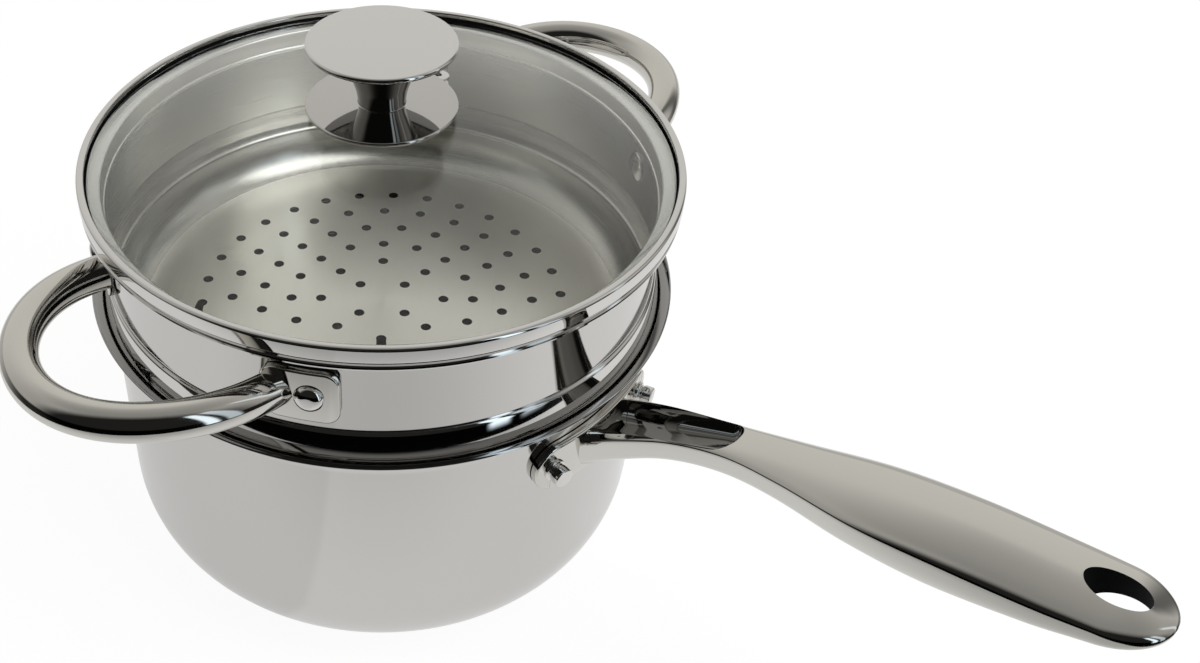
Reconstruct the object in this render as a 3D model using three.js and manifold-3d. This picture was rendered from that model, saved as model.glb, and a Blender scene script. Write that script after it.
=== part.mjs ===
// Steamer pot: a saucepan with a long riveted handle, a perforated steamer insert with two loop
// handles, and a domed glass lid with a steel rim band and an hourglass knob.
// Millimetres, +Z up. The origin is the centre of the base's underside, and +X runs along the long handle.
import * as THREE from 'three';
import { mergeVertices } from 'three/addons/utils/BufferGeometryUtils.js';
import Module from 'manifold-3d';

// Fits and facets
const seatGap = 0.3; // between pieces that rest on or hug each other
const boreClearance = 0.3; // radial, around a rivet or screw shank
const turns = 48; // facets round the large pieces
const smallTurns = 24; // facets round the knob and its fastenings
const rivetTurns = 12; // facets round a rivet
const arcSteps = 3; // straight steps in a rounded stretch of a profile
const beadSides = 6; // facets round a rolled edge

// Saucepan body and its bonded base
const potWallRadius = 97.8;
const potWall = 1.0;
const potHeight = 115.1; // lip above the table
const potCornerWidth = 26;
const potCornerHeight = 31.5;
const potFlareRadius = 9;
const potFlareTurn = 60; // degrees from upright
const potLipRun = 2.3; // straight rim after the flare
const baseThickness = 5;
const baseCapSheet = 0.8;
const baseMargin = 0.5; // base edge inside the flat of the pot's bottom

// Long handle
const handleRivetAngle = 14; // degrees either side of the handle's middle
const handleRivetDrop = 21.6; // below the pot's lip
const handlePlate = 2.8;
const handlePlateMargin = 8.5; // plate beyond a rivet's centre
const handlePlateTall = 19;
const handlePlateCorner = 9.3;
const handleEmbed = 2; // arm's root inside the plate
const handleLength = 172.2; // tip beyond the pot's wall
const handleTipRound = 15; // length of the rounded end
const handleTipFlat = 0.06; // flat left at the very tip
const hangHoleSetback = 15.7; // hole's middle from the tip
const hangHoleLength = 17.2;
const hangHoleWidth = 12;
const handleStud = { radius: 3.4, length: 5, chamfer: 0.4 };
const handleRivetHead = { radius: 5.5, height: 1.6 };
const rivetShankRadius = 2.6;

// Sections of the long handle: distance outside the pot's wall, top above the rivets, half width,
// depth, and how far the middle stands above the top's edges
const handleSections = [
  { out: 0.5, top: 8.5, half: 14, depth: 16, crown: -1.5 },
  { out: 14, top: 16, half: 11.6, depth: 15, crown: -3.5 },
  { out: 30, top: 23.4, half: 9, depth: 13.4, crown: -3.5 },
  { out: 48, top: 29.2, half: 8.2, depth: 12.6, crown: -1 },
  { out: 66, top: 33.2, half: 10.4, depth: 13, crown: 1.2 },
  { out: 92, top: 38.2, half: 15, depth: 16.2, crown: 2 },
  { out: 117, top: 42.4, half: 16, depth: 18.6, crown: 2.2 },
  { out: 142, top: 45, half: 15.4, depth: 15, crown: 2 },
  { out: 160, top: 46.6, half: 14.2, depth: 10, crown: 1.6 },
  { out: 172, top: 47, half: 13.4, depth: 8, crown: 1.2 },
];
const handleStations = 26;
const handleSides = 20;
const stationCrowding = 0.35; // how far the stations crowd towards the tip
const sectionSquareness = 0.72; // power that fills out the rounded section
const sectionShoulder = 0.3; // widest line of a section, as a share of its depth

// Steamer insert
const steamerSheet = 0.8;
const steamerSideGap = 1.5; // between the insert's lower wall and the pot
const steamerLedgeReach = 2.2; // ledge beyond the pot's outer wall
const steamerSinkDepth = 15.7; // ledge down to the floor
const steamerFloorCorner = 13;
const steamerBandHeight = 9.6;
const steamerBandTaper = 2.3; // band's inward lean over its height
const steamerShoulder = 1;
const steamerWallHeight = 29.4; // shoulder up to the flared lip
const steamerLipReach = 5.9;
const steamerLipAngle = 24.5; // degrees above level
const steamerBeadRadius = 1.3; // rolled edge of the lip
const steamerTurn = -2; // degrees, as the insert stands in the pot

// Perforations of the steamer's floor, in rings about its middle
const holeRadius = 1.9;
const holeSides = 6;
const firstRing = 11.7;
const ringPitch = 10.9;
const ringTurn = -2; // degrees from the loops' middle
const ringCounts = [4, 8, 16, 20, 24, 30]; // the outermost stands half a step on

// Loop handles of the steamer
const loopTubeRadius = 6;
const loopTubeWall = 1.4;
const loopHalfSpan = 41;
const loopReach = 46; // tube's middle beyond the steamer's wall
const loopStraight = 8; // straight tube outside the wall at each end
const loopEmbed = 7; // straight tube inside the wall's line, coped off at the tab
const loopRise = 6.6; // outermost point above the tabs' middle
const loopHeight = 24.8; // tab's middle above the ledge
const loopSteps = 18;
const loopTubeSides = 6; // facets of half the tube
const tabThickness = 2.2;
const tabLength = 25;
const tabTall = 20;
const tabCornerRadius = 5;
const loopRivetGap = 0.8; // along the tab, between the tube and the rivet's dome
const tabSetback = 3; // tab's middle short of the rivet
const loopRivetDome = { radius: 5, height: 2.6 };
const loopRivetHead = { radius: 5.4, height: 1.5 };

// Glass lid and its rim band
const bandSheet = 0.7;
const bandOverhang = 0.2; // band beyond the steamer's lip
const bandHeight = 5.5;
const bandTopLip = 2;
const bandCorner = 1;
const skirtDrop = 5.2;
const skirtSideGap = 0.5;
const glassThickness = 3.6;
const glassRise = 16.5;
const glassSteps = 6;
const glassEdgeGap = 0.4;

// Steam vent in the glass
const ventRadius = 31;
const ventAngle = 94; // degrees from the long handle
const ventBore = 1.6;
const ventBarrel = 3;
const ventFlange = { radius: 4.4, height: 0.8 };

// Knob and what fastens it
const knobBaseRadius = 25.5;
const knobBaseEdge = 1.4;
const knobBaseRise = 0.6; // how much the base disc's top climbs towards the stem
const knobWaistRadius = 7.8;
const knobFillet = 2.4;
const knobNeckRadius = 13;
const knobNeckHeight = 19.3;
const knobCapRadius = 24.8;
const knobCapThickness = 4.4;
const knobCapEdge = 1.6;
const knobSteps = 4;
const sealRadius = 11;
const sealThickness = 1;
const screwRadius = 2.4;
const screwHeadRadius = 4.6;
const screwHeadHeight = 2.6;
const screwGrip = 9; // thread inside the knob
const washerRadius = 8;
const washerThickness = 1.2;

// Colours
const satinSteel = { color: 0xb9b8b3, roughness: 0.38, metalness: 1 };
const mirrorSteel = { color: 0xc9c9c6, roughness: 0.1, metalness: 1 };
const aluminium = { color: 0xa9abad, roughness: 0.5, metalness: 1 };
const clearGlass = { color: 0xe4ebe8, roughness: 0.03, metalness: 0, transparent: true, opacity: 0.3 };
const silicone = { color: 0x8f918f, roughness: 0.7, metalness: 0 };

const wasm = await Module();
wasm.setup();

const radians = THREE.MathUtils.degToRad;
const degrees = THREE.MathUtils.radToDeg;

// Points of an elliptical arc about (r, z), angles in degrees
function arc(r, z, radiusR, radiusZ, from, to, steps = arcSteps) {
  const points = [];
  for (let i = 0; i <= steps; i += 1) {
    const angle = radians(from + ((to - from) * i) / steps);
    points.push([r + radiusR * Math.cos(angle), z + radiusZ * Math.sin(angle)]);
  }
  return points;
}

// The same outline moved sideways by an offset: positive is to the left of its direction
function offsetLine(line, offset) {
  return line.map(([r, z], i) => {
    const before = line[Math.max(i - 1, 0)];
    const after = line[Math.min(i + 1, line.length - 1)];
    const first = new THREE.Vector2(r - before[0], z - before[1]).normalize();
    const second = new THREE.Vector2(after[0] - r, after[1] - z).normalize();
    const incoming = i === 0 ? second : first;
    const outgoing = i === line.length - 1 ? incoming : second;
    const along = incoming.clone().add(outgoing).normalize();
    const miter = offset / along.dot(incoming);
    return [r - along.y * miter, z + along.x * miter];
  });
}

// Closed section of a sheet whose outer face follows the line
function sheetSection(line, offset) {
  const other = offsetLine(line, offset);
  if (line[0][0] === 0) {
    other[0][0] = 0;
    return [...line, ...other.reverse()];
  }
  return [...line, ...other.reverse(), line[0]];
}

// A section turned round the Z axis
function turned(section, facets = turns) {
  const points = section.map(([r, z]) => new THREE.Vector2(r, z));
  return new THREE.LatheGeometry(points, facets).rotateX(Math.PI / 2);
}

function toSolid(geometry) {
  const bare = geometry.index ? geometry.toNonIndexed() : geometry.clone();
  bare.deleteAttribute('normal');
  bare.deleteAttribute('uv');
  const merged = mergeVertices(bare, 1e-4);
  const mesh = new wasm.Mesh({
    numProp: 3,
    vertProperties: merged.attributes.position.array,
    triVerts: new Uint32Array(merged.index.array),
  });
  mesh.merge();
  return new wasm.Manifold(mesh);
}

function toGeometry(solid) {
  const mesh = solid.getMesh();
  const geometry = new THREE.BufferGeometry();
  geometry.setAttribute('position', new THREE.BufferAttribute(mesh.vertProperties, 3));
  geometry.setIndex(new THREE.BufferAttribute(mesh.triVerts, 1));
  geometry.computeVertexNormals();
  return geometry;
}

function piece(name, geometry, finish) {
  const mesh = new THREE.Mesh(geometry, new THREE.MeshStandardMaterial(finish));
  mesh.name = name;
  return mesh;
}

// A bar along +X from one distance to another, for bores that point at the pot's axis
function radialBar(radius, from, to, facets = rivetTurns) {
  const section = [[0, from], [radius, from], [radius, to], [0, to]];
  return turned(section, facets).rotateY(Math.PI / 2);
}

// A solid copied to an angle about the Z axis, at a height
function placed(geometry, angle, height) {
  return geometry.clone().rotateZ(radians(angle)).translate(0, 0, height);
}

// Saucepan

const potBottom = baseThickness;
const potFlatRadius = potWallRadius - potCornerWidth;
const potInnerRadius = potWallRadius - potWall;
const flareTop = potHeight - potLipRun * Math.cos(radians(potFlareTurn));
const flareStart = flareTop - potFlareRadius * Math.sin(radians(potFlareTurn));
const flareCentre = potWallRadius + potFlareRadius;

function potLine() {
  const corner = arc(
    potFlatRadius, potBottom + potCornerHeight, potCornerWidth, potCornerHeight, -90, 0, 2 * arcSteps,
  );
  const flare = arc(flareCentre, flareStart, potFlareRadius, potFlareRadius, 180, 180 - potFlareTurn);
  const [edgeRadius, edgeHeight] = flare[flare.length - 1];
  const lipRadius = edgeRadius + potLipRun * Math.sin(radians(potFlareTurn));
  const lipHeight = edgeHeight + potLipRun * Math.cos(radians(potFlareTurn));
  return [[0, potBottom], ...corner, ...flare, [lipRadius, lipHeight]];
}

// Height of the flare's upper face at a radius
function flareHeight(radius) {
  const bend = potFlareRadius + potWall;
  return flareStart + Math.sqrt(bend ** 2 - (flareCentre - radius) ** 2);
}

function potBody() {
  let solid = toSolid(turned(sheetSection(potLine(), potWall)));
  const bore = radialBar(rivetShankRadius + boreClearance, potInnerRadius - 2 * potWall,
    potWallRadius + 2 * potWall);
  for (const side of [-1, 1]) {
    solid = solid.subtract(toSolid(placed(bore, side * handleRivetAngle, handleRivetHeight)));
  }
  return toGeometry(solid);
}

const baseRadius = potFlatRadius - baseMargin;
const coreRadius = baseRadius - baseCapSheet - seatGap;
const coreBottom = baseCapSheet + seatGap;

function baseCap() {
  const rim = potBottom - seatGap;
  return turned([
    [0, 0], [baseRadius - baseCapSheet, 0], [baseRadius, baseCapSheet], [baseRadius, rim],
    [baseRadius - baseCapSheet, rim], [baseRadius - baseCapSheet, baseCapSheet], [0, baseCapSheet],
  ]);
}

function baseCore() {
  const top = potBottom - seatGap;
  return turned([[0, coreBottom], [coreRadius, coreBottom], [coreRadius, top], [0, top]]);
}

// Long handle

const handleRivetHeight = potHeight - handleRivetDrop;
const handleTip = potWallRadius + handleLength;
const plateInner = potWallRadius + seatGap;
const plateOuter = plateInner + handlePlate;
const sectionFields = ['top', 'half', 'depth', 'crown'];

// One size of the handle at a distance outside the wall, on a smooth line through its sections
function handleSize(field, out) {
  const outs = handleSections.map((section) => section.out);
  const values = handleSections.map((section) => section[field]);
  const last = outs.length - 1;
  let i = 0;
  while (i < last - 1 && out > outs[i + 1]) {
    i += 1;
  }
  const slope = (k) => {
    const before = Math.max(k - 1, 0);
    const after = Math.min(k + 1, last);
    return (values[after] - values[before]) / (outs[after] - outs[before]);
  };
  const span = outs[i + 1] - outs[i];
  const t = THREE.MathUtils.clamp((out - outs[i]) / span, 0, 1);
  const ease = t * t * (3 - 2 * t);
  const bend = span * t * (1 - t) * ((1 - t) * slope(i) - t * slope(i + 1));
  return values[i] + (values[i + 1] - values[i]) * ease + bend;
}

function filledOut(value) {
  return Math.sign(value) * Math.abs(value) ** sectionSquareness;
}

// A point of the handle's skin: reach from the pot's axis, and angle round the section
function handlePoint(reach, angle) {
  const [rise, half, depth, crown] = sectionFields.map((field) => handleSize(field, reach - potWallRadius));
  const past = THREE.MathUtils.clamp((reach - handleTip + handleTipRound) / handleTipRound, 0, 1);
  const closing = Math.sqrt(1 - past ** 2);
  const across = filledOut(Math.cos(angle));
  const up = filledOut(Math.sin(angle));
  const roof = depth * sectionShoulder + crown * (1 - across ** 2);
  const belly = depth * (1 - sectionShoulder);
  const lift = (up > 0 ? roof : belly) * up * Math.sqrt(closing);
  const widest = handleRivetHeight + rise - depth * sectionShoulder;
  return new THREE.Vector3(reach, half * closing * across, widest + lift);
}

function handleArm() {
  const root = plateOuter - handleEmbed;
  const end = handleTip - handleTipFlat;
  const arm = new THREE.CylinderGeometry(1, 1, 1, handleSides, handleStations);
  const position = arm.attributes.position;
  const corner = new THREE.Vector3();
  for (let i = 0; i < position.count; i += 1) {
    corner.fromBufferAttribute(position, i);
    const along = corner.y + 1 / 2;
    const eased = THREE.MathUtils.lerp(along, Math.sin((along * Math.PI) / 2), stationCrowding);
    const reach = root + (end - root) * eased;
    const skin = handlePoint(reach, Math.atan2(corner.z, -corner.x));
    if (corner.x === 0 && corner.z === 0) {
      skin.lerpVectors(handlePoint(reach, -Math.PI / 2), handlePoint(reach, Math.PI / 2), 1 / 2);
    }
    position.setXYZ(i, skin.x, skin.y, skin.z);
  }
  return arm;
}

// Flat outline with round corners, centred on its own middle
function roundedOutline(width, tall, corner) {
  const w = width / 2;
  const h = tall / 2;
  const shape = new THREE.Shape();
  shape.absarc(w - corner, h - corner, corner, 0, Math.PI / 2);
  shape.absarc(-w + corner, h - corner, corner, Math.PI / 2, Math.PI);
  shape.absarc(-w + corner, -h + corner, corner, Math.PI, 1.5 * Math.PI);
  shape.absarc(w - corner, -h + corner, corner, 1.5 * Math.PI, 2 * Math.PI);
  return shape;
}

// A plate of that outline that hugs a round wall on its +X side
function curvedPlate(outline, inner, outer, tall) {
  const section = [[inner, -tall], [outer, -tall], [outer, tall], [inner, tall], [inner, -tall]];
  const ring = turned(section, 2 * turns);
  const sweep = { depth: outer, bevelEnabled: false, curveSegments: arcSteps };
  const block = new THREE.ExtrudeGeometry(outline, sweep);
  block.rotateX(Math.PI / 2).rotateZ(Math.PI / 2);
  return toSolid(ring).intersect(toSolid(block));
}

function hangHole() {
  const oval = new THREE.Shape();
  oval.absellipse(handleTip - hangHoleSetback, 0, hangHoleLength / 2, hangHoleWidth / 2, 0, 2 * Math.PI);
  const through = 2 * (handleRivetHeight + handleSize('top', handleLength));
  const sweep = { depth: through, bevelEnabled: false, curveSegments: 2 * arcSteps };
  return new THREE.ExtrudeGeometry(oval, sweep);
}

function panHandle() {
  const rivetSide = plateInner * Math.sin(radians(handleRivetAngle));
  const outline = roundedOutline(2 * (rivetSide + handlePlateMargin), handlePlateTall, handlePlateCorner);
  let solid = curvedPlate(outline, plateInner, plateOuter, handlePlateTall);
  solid = solid.translate([0, 0, handleRivetHeight]).add(toSolid(handleArm()));
  solid = solid.subtract(toSolid(hangHole()));
  const bore = radialBar(rivetShankRadius + boreClearance, potInnerRadius, plateOuter + handlePlate);
  for (const side of [-1, 1]) {
    solid = solid.subtract(toSolid(placed(bore, side * handleRivetAngle, handleRivetHeight)));
  }
  return toGeometry(solid);
}

// Rivet along +X: a low head inside the wall, its shank, and an end outside at the seat
function rivetSection(inside, seat, head, end) {
  const flat = inside * Math.cos(Math.PI / turns);
  const headFace = Math.sqrt(flat ** 2 - head.radius ** 2) - seatGap;
  const dome = arc(0, headFace, head.radius, head.height, -90, 0);
  dome[0][0] = 0;
  return [...dome, [rivetShankRadius, headFace], [rivetShankRadius, seat + seatGap], ...end];
}

function handleRivet() {
  const seat = plateOuter + seatGap;
  const { radius, length, chamfer } = handleStud;
  const end = [
    [radius, seat], [radius, seat + length - chamfer], [radius - chamfer, seat + length], [0, seat + length],
  ];
  const section = rivetSection(potInnerRadius, plateOuter, handleRivetHead, end);
  return turned(section, rivetTurns).rotateY(Math.PI / 2);
}

// Steamer insert

const ledgeRadius = potWallRadius + steamerLedgeReach;
const ledgeHeight = flareHeight(ledgeRadius) + seatGap;
const sinkRadius = potInnerRadius - steamerSideGap;
const floorTop = ledgeHeight - steamerSinkDepth;
const bandTopRadius = ledgeRadius - steamerBandTaper;
const bandTopHeight = ledgeHeight + steamerBandHeight;
const steamerWallRadius = bandTopRadius - steamerShoulder;
const steamerInnerRadius = steamerWallRadius - steamerSheet;
const steamerNeckHeight = bandTopHeight + steamerShoulder + steamerWallHeight;
const steamerLipRadius = steamerWallRadius + steamerLipReach;
const beadMiddle = steamerLipRadius - steamerBeadRadius;
const lipSlope = Math.tan(radians(steamerLipAngle));
const lipCosine = Math.cos(radians(steamerLipAngle));
const tabHeight = ledgeHeight + loopHeight;
const tabInner = steamerWallRadius + seatGap;
const tabOuter = tabInner + tabThickness;
const tubeToRivet = loopTubeRadius + loopRivetGap + loopRivetDome.radius;
const loopRivetAngle = degrees(Math.asin(loopHalfSpan / tabOuter) + tubeToRivet / tabOuter);
const tabSetbackAngle = degrees(tabSetback / tabOuter);

// Height of the lip's upper face at a radius
function lipHeight(radius) {
  return steamerNeckHeight + (radius - steamerWallRadius) * lipSlope + steamerSheet / lipCosine;
}

function steamerLine() {
  const under = floorTop - steamerSheet;
  const corner = arc(
    sinkRadius - steamerFloorCorner, under + steamerFloorCorner,
    steamerFloorCorner, steamerFloorCorner, -90, 0,
  );
  return [
    [0, under], ...corner, [sinkRadius, ledgeHeight], [ledgeRadius, ledgeHeight],
    [bandTopRadius, bandTopHeight], [steamerWallRadius, bandTopHeight + steamerShoulder],
    [steamerWallRadius, steamerNeckHeight], [beadMiddle, lipHeight(beadMiddle) - steamerSheet / lipCosine],
  ];
}

function floorHoles() {
  const depth = 4 * steamerSheet;
  const drill = turned([[0, -depth], [holeRadius, -depth], [holeRadius, depth], [0, depth]], holeSides);
  const holes = [];
  ringCounts.forEach((count, ring) => {
    const radius = firstRing + ring * ringPitch;
    const shift = ring === ringCounts.length - 1 ? 1 / 2 : 0;
    for (let i = 0; i < count; i += 1) {
      const hole = drill.clone().translate(0, radius, 0);
      holes.push(toSolid(placed(hole, ringTurn + (360 * (i + shift)) / count, floorTop)));
    }
  });
  return wasm.Manifold.union(holes);
}

function steamerBody() {
  const beadHeight = lipHeight(beadMiddle) - steamerBeadRadius / lipCosine;
  const bead = turned(arc(beadMiddle, beadHeight, steamerBeadRadius, steamerBeadRadius, 0, 360, beadSides));
  let solid = toSolid(turned(sheetSection(steamerLine(), steamerSheet))).add(toSolid(bead));
  solid = solid.subtract(floorHoles());
  const bore = radialBar(rivetShankRadius + boreClearance, steamerInnerRadius - 2 * steamerSheet,
    steamerWallRadius + 2 * steamerSheet);
  for (const middle of [-90, 90]) {
    for (const side of [-1, 1]) {
      solid = solid.subtract(toSolid(placed(bore, middle + side * loopRivetAngle, tabHeight)));
    }
  }
  return toGeometry(solid);
}


function loopTab(side) {
  let solid = curvedPlate(roundedOutline(tabLength, tabTall, tabCornerRadius), tabInner, tabOuter, tabTall);
  const bore = radialBar(rivetShankRadius + boreClearance, steamerInnerRadius, tabOuter + tabThickness);
  solid = solid.subtract(toSolid(placed(bore, side * tabSetbackAngle, 0)));
  return toGeometry(solid);
}

function loopRivet() {
  const seat = tabOuter + seatGap;
  const dome = arc(0, seat, loopRivetDome.radius, loopRivetDome.height, 0, 90);
  dome[dome.length - 1][0] = 0;
  const section = rivetSection(steamerInnerRadius, tabOuter, loopRivetHead, dome);
  return turned(section, rivetTurns).rotateY(Math.PI / 2);
}

// Middle line of a loop handle: straight out of one tab, half an ellipse, straight into the other
class LoopLine extends THREE.Curve {
  getPoint(t) {
    const wall = Math.sqrt(steamerWallRadius ** 2 - loopHalfSpan ** 2);
    const straight = loopStraight + loopEmbed;
    const reach = steamerWallRadius + loopReach - wall - loopStraight;
    const bend = (Math.PI / 2) * (reach + loopHalfSpan);
    const along = t * (bend + 2 * straight) - straight;
    const turn = THREE.MathUtils.clamp(along / bend, 0, 1) * Math.PI - Math.PI / 2;
    const back = Math.max(-along, along - bend, 0);
    const out = loopStraight - back + reach * Math.cos(turn);
    const rise = loopRise * Math.sin(((Math.PI / 2) * out) / (loopStraight + reach));
    return new THREE.Vector3(wall + out, loopHalfSpan * Math.sin(turn), rise);
  }
}

function loopHandle() {
  const ring = new THREE.Shape();
  ring.absarc(0, 0, loopTubeRadius, 0, 2 * Math.PI);
  const bore = new THREE.Path();
  bore.absarc(0, 0, loopTubeRadius - loopTubeWall, 0, 2 * Math.PI, true);
  ring.holes.push(bore);
  const tube = new THREE.ExtrudeGeometry(ring, {
    steps: loopSteps, curveSegments: loopTubeSides, bevelEnabled: false, extrudePath: new LoopLine(),
  });
  const cope = tabOuter + seatGap;
  const plug = turned([[0, -tabTall], [cope, -tabTall], [cope, tabTall], [0, tabTall]], 2 * turns);
  return toGeometry(toSolid(tube).subtract(toSolid(plug)));
}

// Lid

const lidRadius = steamerLipRadius + bandOverhang;
const flangeLift = seatGap / lipCosine;
const bandBottom = lipHeight(lidRadius) + flangeLift;
const bandTop = bandBottom + bandHeight;
const skirtRadius = steamerInnerRadius - skirtSideGap;

function rimBand() {
  const corner = arc(lidRadius - bandCorner, bandTop - bandCorner, bandCorner, bandCorner, 0, 90, 2);
  const flangeFoot = lipHeight(skirtRadius) + flangeLift;
  const line = [
    [skirtRadius, flangeFoot - skirtDrop], [skirtRadius, flangeFoot], [lidRadius, bandBottom],
    ...corner, [lidRadius - bandTopLip, bandTop],
  ];
  return turned(sheetSection(line, bandSheet));
}

const glassEdge = lidRadius - bandSheet - glassEdgeGap;
const glassEdgeTop = bandTop - bandSheet - glassEdgeGap;
const glassTop = glassEdgeTop + glassRise;
const domeRadius = (glassEdge ** 2 + glassRise ** 2) / (2 * glassRise);

// Height of the glass's upper face at a radius
function glassHeight(radius) {
  return glassTop - domeRadius + Math.sqrt(domeRadius ** 2 - radius ** 2);
}

function lidGlass() {
  const bore = screwRadius + boreClearance;
  const upper = [];
  for (let i = 0; i <= glassSteps; i += 1) {
    const radius = bore + ((glassEdge - bore) * i) / glassSteps;
    upper.push([radius, glassHeight(radius)]);
  }
  const lower = upper.map(([r, z]) => [r, z - glassThickness]);
  const disc = turned([...lower, ...upper.reverse(), lower[0]]);
  const hole = turned([
    [0, -glassThickness], [ventBarrel + boreClearance, -glassThickness],
    [ventBarrel + boreClearance, glassThickness], [0, glassThickness],
  ], rivetTurns);
  return toGeometry(toSolid(disc).subtract(toSolid(ventPlaced(hole))));
}

// A shape made about the middle of the glass, carried to the vent and tipped with the dome
function ventPlaced(geometry) {
  const tip = Math.asin(ventRadius / domeRadius);
  const middle = glassHeight(ventRadius) - glassThickness / 2;
  return placed(geometry.clone().rotateY(tip).translate(ventRadius, 0, 0), ventAngle, middle);
}

function ventGrommet() {
  const face = glassThickness / 2 + seatGap;
  const outer = face + ventFlange.height;
  return ventPlaced(turned([
    [ventBore, -outer], [ventFlange.radius, -face - ventFlange.height / 2], [ventFlange.radius, -face],
    [ventBarrel, -face], [ventBarrel, face], [ventFlange.radius, face],
    [ventFlange.radius, face + ventFlange.height / 2], [ventBore, outer], [ventBore, -outer],
  ], rivetTurns));
}

// Knob

const sealBottom = glassTop + seatGap;
const knobBottom = sealBottom + sealThickness + seatGap;
const screwTop = knobBottom + screwGrip;
const glassUnder = glassTop - glassThickness;
const washerTop = glassUnder - seatGap;
const screwSeat = washerTop - washerThickness - seatGap;

// Stem: a broad flat base disc, a small fillet and a cone that opens towards the cap
function knobBody() {
  const bore = screwRadius + boreClearance;
  const boreTop = screwTop + seatGap;
  const edge = knobBottom + knobBaseEdge;
  const waist = edge + knobBaseRise + knobFillet;
  const neck = knobBottom + knobNeckHeight;
  const fillet = arc(knobWaistRadius + knobFillet, waist, knobFillet, knobFillet, -90, -180, knobSteps);
  return turned([
    [bore, knobBottom], [knobBaseRadius, knobBottom], [knobBaseRadius, edge], ...fillet,
    [knobNeckRadius, neck], [0, neck], [0, boreTop], [bore, boreTop], [bore, knobBottom],
  ], smallTurns);
}

function knobCap() {
  const under = knobBottom + knobNeckHeight + seatGap;
  const shoulder = under + knobCapThickness - knobCapEdge;
  const edge = arc(knobCapRadius - knobCapEdge, shoulder, knobCapEdge, knobCapEdge, 0, 90, 3);
  const inner = knobNeckRadius;
  return turned([[0, under], [inner, under], ...edge, [0, shoulder + knobCapEdge]], smallTurns);
}

function washerRing(radius, bottom, thickness) {
  const bore = screwRadius + boreClearance;
  const top = bottom + thickness;
  return turned([[bore, bottom], [radius, bottom], [radius, top], [bore, top], [bore, bottom]], smallTurns);
}

function knobScrew() {
  const dome = arc(0, screwSeat, screwHeadRadius, screwHeadHeight, -90, 0);
  dome[0][0] = 0;
  return turned([...dome, [screwRadius, screwSeat], [screwRadius, screwTop], [0, screwTop]], smallTurns);
}

// Assembly

const pot = new THREE.Group();
pot.add(piece('pot_body', potBody(), mirrorSteel));
pot.add(piece('base_core_disc', baseCore(), aluminium));
pot.add(piece('base_cap', baseCap(), satinSteel));
pot.add(piece('pan_handle', panHandle(), mirrorSteel));
for (const [side, name] of [[1, 'left'], [-1, 'right']]) {
  const rivet = piece(`pan_handle_rivet_${name}`, handleRivet(), mirrorSteel);
  rivet.rotation.z = radians(side * handleRivetAngle);
  rivet.position.z = handleRivetHeight;
  pot.add(rivet);
}

const steamer = new THREE.Group();
steamer.rotation.z = radians(steamerTurn);
steamer.add(piece('steamer_body', steamerBody(), satinSteel));
for (const [middle, name] of [[90, 'left'], [-90, 'right']]) {
  const loop = piece(`loop_handle_${name}`, loopHandle(), mirrorSteel);
  loop.rotation.z = radians(middle);
  loop.position.z = tabHeight;
  steamer.add(loop);
  for (const [side, end] of [[1, 'a'], [-1, 'b']]) {
    const tab = piece(`loop_tab_${name}_${end}`, loopTab(side), mirrorSteel);
    tab.rotation.z = radians(middle + side * (loopRivetAngle - tabSetbackAngle));
    tab.position.z = tabHeight;
    const rivet = piece(`loop_rivet_${name}_${end}`, loopRivet(), mirrorSteel);
    rivet.rotation.z = radians(middle + side * loopRivetAngle);
    rivet.position.z = tabHeight;
    steamer.add(tab, rivet);
  }
}

const lid = new THREE.Group();
lid.add(piece('lid_glass', lidGlass(), clearGlass));
lid.add(piece('lid_rim_band', rimBand(), mirrorSteel));
lid.add(piece('vent_grommet', ventGrommet(), mirrorSteel));
lid.add(piece('knob_body', knobBody(), mirrorSteel));
lid.add(piece('knob_cap', knobCap(), mirrorSteel));
lid.add(piece('knob_seal', washerRing(sealRadius, sealBottom, sealThickness), silicone));
const washerBottom = washerTop - washerThickness;
lid.add(piece('knob_washer', washerRing(washerRadius, washerBottom, washerThickness), satinSteel));
lid.add(piece('knob_screw', knobScrew(), satinSteel));

const steamerPot = new THREE.Group();
steamerPot.add(pot, steamer, lid);

export default steamerPot;
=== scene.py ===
# %% [markdown]
# # A steamer pot
# This lesson dresses a saucepan, its steamer insert and its glass lid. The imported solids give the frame:
# where each piece is and what it moves with. Sheet metal is spun on a lathe in the factory, so most pieces
# here are spun too, as an outline turned about the pot's axis, much finer than the solids they stand for.

# %% Load the frame
import math

import bmesh
import bpy
from mathutils import Matrix, Vector


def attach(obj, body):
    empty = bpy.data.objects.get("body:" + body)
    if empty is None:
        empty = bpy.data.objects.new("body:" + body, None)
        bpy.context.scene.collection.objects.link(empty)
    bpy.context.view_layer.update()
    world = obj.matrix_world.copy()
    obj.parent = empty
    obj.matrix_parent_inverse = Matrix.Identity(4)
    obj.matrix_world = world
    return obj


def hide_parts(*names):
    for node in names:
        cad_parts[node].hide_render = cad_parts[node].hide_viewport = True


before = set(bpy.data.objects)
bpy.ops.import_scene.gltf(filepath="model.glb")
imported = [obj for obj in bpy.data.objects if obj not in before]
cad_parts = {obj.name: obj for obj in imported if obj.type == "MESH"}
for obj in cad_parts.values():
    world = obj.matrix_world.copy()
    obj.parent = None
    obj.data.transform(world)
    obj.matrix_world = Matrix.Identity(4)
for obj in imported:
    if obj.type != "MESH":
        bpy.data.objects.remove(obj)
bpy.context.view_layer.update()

# %% [markdown]
# The sizes below are the drawing's own, in millimetres, because that is how a pan maker would say them.
# Blender works in metres, so each helper multiplies by MM once, where it makes its first vertices.

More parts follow.
